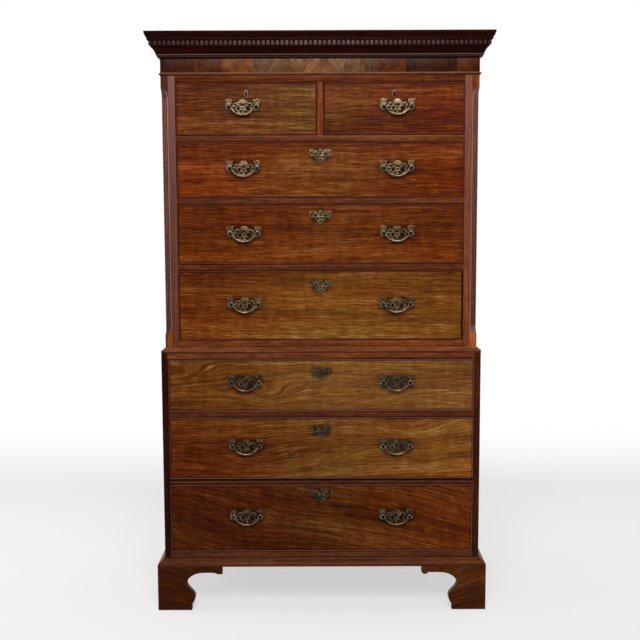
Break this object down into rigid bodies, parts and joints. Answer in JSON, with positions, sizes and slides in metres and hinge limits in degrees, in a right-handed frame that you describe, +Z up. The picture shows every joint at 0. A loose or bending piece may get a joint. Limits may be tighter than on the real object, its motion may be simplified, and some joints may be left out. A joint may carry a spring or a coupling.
{
  "type": "chest on chest",
  "caption": "Two-part mahogany chest on chest with dentil cornice, fluted canted corners, cock-beaded drawers, pierced brass swan-neck handles and bracket feet.",
  "frame": {"origin": "on the floor under the middle of the bounding box", "axes": "+X to the right as seen from the front, drawers open towards -Y, +Z up"},
  "size_m": [1.103, 0.576, 1.879],
  "materials": {
    "mahogany": "figured mahogany veneer, French polished, satin",
    "dark_mahogany": "dark red-brown polished mahogany moulding",
    "oak": "bare aged oak drawer linings",
    "pine": "unfinished aged pine backboards",
    "brass": "lightly tarnished cast brass",
    "dark_brass": "dark bronzed cast brass"
  },
  "bodies": {
    "chest": {"foot_front_left": "mahogany", "foot_front_right": "mahogany", "foot_rear_left": "mahogany", "foot_rear_right": "mahogany", "base_moulding": "mahogany", "lower_carcass": "mahogany", "lower_backboards": "pine", "upper_carcass": "mahogany", "upper_backboards": "pine", "cornice": "dark_mahogany"},
    "bail_short_left": {"bail_short_left": "brass"},
    "drawer_short_left": {"drawer_front_short_left": "mahogany", "drawer_box_short_left": "oak", "backplate_short_left": "brass"},
    "bail_short_right": {"bail_short_right": "brass"},
    "drawer_short_right": {"drawer_front_short_right": "mahogany", "drawer_box_short_right": "oak", "backplate_short_right": "brass"},
    "bail_upper_1_left": {"bail_upper_1_left": "brass"},
    "bail_upper_1_right": {"bail_upper_1_right": "brass"},
    "drawer_upper_1": {"drawer_front_upper_1": "mahogany", "drawer_box_upper_1": "oak", "backplate_upper_1_left": "brass", "backplate_upper_1_right": "brass", "escutcheon_upper_1": "brass"},
    "bail_upper_2_left": {"bail_upper_2_left": "brass"},
    "bail_upper_2_right": {"bail_upper_2_right": "brass"},
    "drawer_upper_2": {"drawer_front_upper_2": "mahogany", "drawer_box_upper_2": "oak", "backplate_upper_2_left": "brass", "backplate_upper_2_right": "brass", "escutcheon_upper_2": "brass"},
    "bail_upper_3_left": {"bail_upper_3_left": "brass"},
    "bail_upper_3_right": {"bail_upper_3_right": "brass"},
    "drawer_upper_3": {"drawer_front_upper_3": "mahogany", "drawer_box_upper_3": "oak", "backplate_upper_3_left": "brass", "backplate_upper_3_right": "brass", "escutcheon_upper_3": "brass"},
    "bail_lower_1_left": {"bail_lower_1_left": "dark_brass"},
    "bail_lower_1_right": {"bail_lower_1_right": "dark_brass"},
    "drawer_lower_1": {"drawer_front_lower_1": "mahogany", "drawer_box_lower_1": "oak", "backplate_lower_1_left": "dark_brass", "backplate_lower_1_right": "dark_brass", "escutcheon_lower_1": "dark_brass"},
    "bail_lower_2_left": {"bail_lower_2_left": "dark_brass"},
    "bail_lower_2_right": {"bail_lower_2_right": "dark_brass"},
    "drawer_lower_2": {"drawer_front_lower_2": "mahogany", "drawer_box_lower_2": "oak", "backplate_lower_2_left": "dark_brass", "backplate_lower_2_right": "dark_brass", "escutcheon_lower_2": "dark_brass"},
    "bail_lower_3_left": {"bail_lower_3_left": "dark_brass"},
    "bail_lower_3_right": {"bail_lower_3_right": "dark_brass"},
    "drawer_lower_3": {"drawer_front_lower_3": "mahogany", "drawer_box_lower_3": "oak", "backplate_lower_3_left": "dark_brass", "backplate_lower_3_right": "dark_brass", "escutcheon_lower_3": "dark_brass"}
  },
  "joints": [
    {"name": "drawer_short_left_slide", "type": "slide", "parent": "chest", "child": "drawer_short_left", "axis": [0, -1, 0], "range_m": [0, 0.4]},
    {"name": "bail_short_left_swing", "type": "hinge", "parent": "drawer_short_left", "child": "bail_short_left", "pos_m": [-0.247, -0.2586, 1.64668], "axis": [-1, 0, 0], "range_deg": [-20, 60]},
    {"name": "drawer_short_right_slide", "type": "slide", "parent": "chest", "child": "drawer_short_right", "axis": [0, -1, 0], "range_m": [0, 0.4]},
    {"name": "bail_short_right_swing", "type": "hinge", "parent": "drawer_short_right", "child": "bail_short_right", "pos_m": [0.247, -0.2586, 1.64668], "axis": [-1, 0, 0], "range_deg": [-20, 60]},
    {"name": "drawer_upper_1_slide", "type": "slide", "parent": "chest", "child": "drawer_upper_1", "axis": [0, -1, 0], "range_m": [0, 0.4]},
    {"name": "bail_upper_1_left_swing", "type": "hinge", "parent": "drawer_upper_1", "child": "bail_upper_1_left", "pos_m": [-0.247, -0.2586, 1.01457], "axis": [-1, 0, 0], "range_deg": [-20, 60]},
    {"name": "bail_upper_1_right_swing", "type": "hinge", "parent": "drawer_upper_1", "child": "bail_upper_1_right", "pos_m": [0.247, -0.2586, 1.01457], "axis": [-1, 0, 0], "range_deg": [-20, 60]},
    {"name": "drawer_upper_2_slide", "type": "slide", "parent": "chest", "child": "drawer_upper_2", "axis": [0, -1, 0], "range_m": [0, 0.4]},
    {"name": "bail_upper_2_left_swing", "type": "hinge", "parent": "drawer_upper_2", "child": "bail_upper_2_left", "pos_m": [-0.247, -0.2586, 1.24423], "axis": [-1, 0, 0], "range_deg": [-20, 60]},
    {"name": "bail_upper_2_right_swing", "type": "hinge", "parent": "drawer_upper_2", "child": "bail_upper_2_right", "pos_m": [0.247, -0.2586, 1.24423], "axis": [-1, 0, 0], "range_deg": [-20, 60]},
    {"name": "drawer_upper_3_slide", "type": "slide", "parent": "chest", "child": "drawer_upper_3", "axis": [0, -1, 0], "range_m": [0, 0.4]},
    {"name": "bail_upper_3_left_swing", "type": "hinge", "parent": "drawer_upper_3", "child": "bail_upper_3_left", "pos_m": [-0.247, -0.2586, 1.45259], "axis": [-1, 0, 0], "range_deg": [-20, 60]},
    {"name": "bail_upper_3_right_swing", "type": "hinge", "parent": "drawer_upper_3", "child": "bail_upper_3_right", "pos_m": [0.247, -0.2586, 1.45259], "axis": [-1, 0, 0], "range_deg": [-20, 60]},
    {"name": "drawer_lower_1_slide", "type": "slide", "parent": "chest", "child": "drawer_lower_1", "axis": [0, -1, 0], "range_m": [0, 0.4]},
    {"name": "bail_lower_1_left_swing", "type": "hinge", "parent": "drawer_lower_1", "child": "bail_lower_1_left", "pos_m": [-0.247, -0.2716, 0.31106], "axis": [-1, 0, 0], "range_deg": [-20, 60]},
    {"name": "bail_lower_1_right_swing", "type": "hinge", "parent": "drawer_lower_1", "child": "bail_lower_1_right", "pos_m": [0.247, -0.2716, 0.31106], "axis": [-1, 0, 0], "range_deg": [-20, 60]},
    {"name": "drawer_lower_2_slide", "type": "slide", "parent": "chest", "child": "drawer_lower_2", "axis": [0, -1, 0], "range_m": [0, 0.4]},
    {"name": "bail_lower_2_left_swing", "type": "hinge", "parent": "drawer_lower_2", "child": "bail_lower_2_left", "pos_m": [-0.247, -0.2716, 0.54772], "axis": [-1, 0, 0], "range_deg": [-20, 60]},
    {"name": "bail_lower_2_right_swing", "type": "hinge", "parent": "drawer_lower_2", "child": "bail_lower_2_right", "pos_m": [0.247, -0.2716, 0.54772], "axis": [-1, 0, 0], "range_deg": [-20, 60]},
    {"name": "drawer_lower_3_slide", "type": "slide", "parent": "chest", "child": "drawer_lower_3", "axis": [0, -1, 0], "range_m": [0, 0.4]},
    {"name": "bail_lower_3_left_swing", "type": "hinge", "parent": "drawer_lower_3", "child": "bail_lower_3_left", "pos_m": [-0.247, -0.2716, 0.75931], "axis": [-1, 0, 0], "range_deg": [-20, 60]},
    {"name": "bail_lower_3_right_swing", "type": "hinge", "parent": "drawer_lower_3", "child": "bail_lower_3_right", "pos_m": [0.247, -0.2716, 0.75931], "axis": [-1, 0, 0], "range_deg": [-20, 60]}
  ]
}
